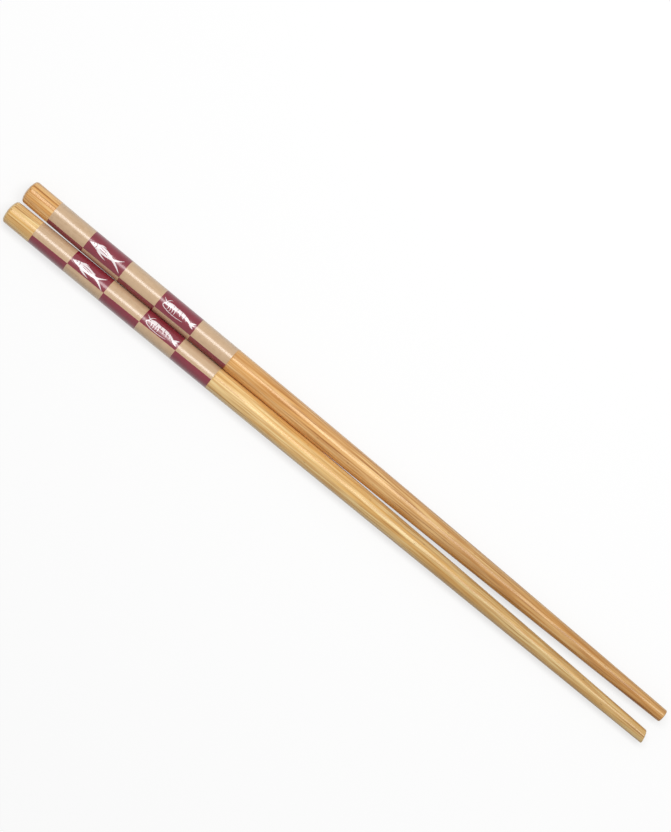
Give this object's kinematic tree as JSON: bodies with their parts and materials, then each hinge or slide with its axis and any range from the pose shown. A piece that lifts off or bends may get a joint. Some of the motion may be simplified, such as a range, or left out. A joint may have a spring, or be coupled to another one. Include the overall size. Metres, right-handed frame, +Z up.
{
  "type": "pair of wooden chopsticks",
  "caption": "Pair of round bamboo chopsticks: domed heads, straight printed handles and long tapers to blunt tips, for picking up food.",
  "frame": {"origin": "on the table, under the middle of the pair's footprint", "axes": "+X along the sticks from their heads to their tips, +Y across the pair from the front stick to the back one, +Z up"},
  "size_m": [0.225, 0.0144, 0.0071],
  "materials": {
    "front_bamboo": "satin",
    "back_bamboo": "satin",
    "printed_film": "satin"
  },
  "bodies": {
    "root": {"front_chopstick": "front_bamboo", "back_chopstick": "back_bamboo"}
  },
  "joints": []
}
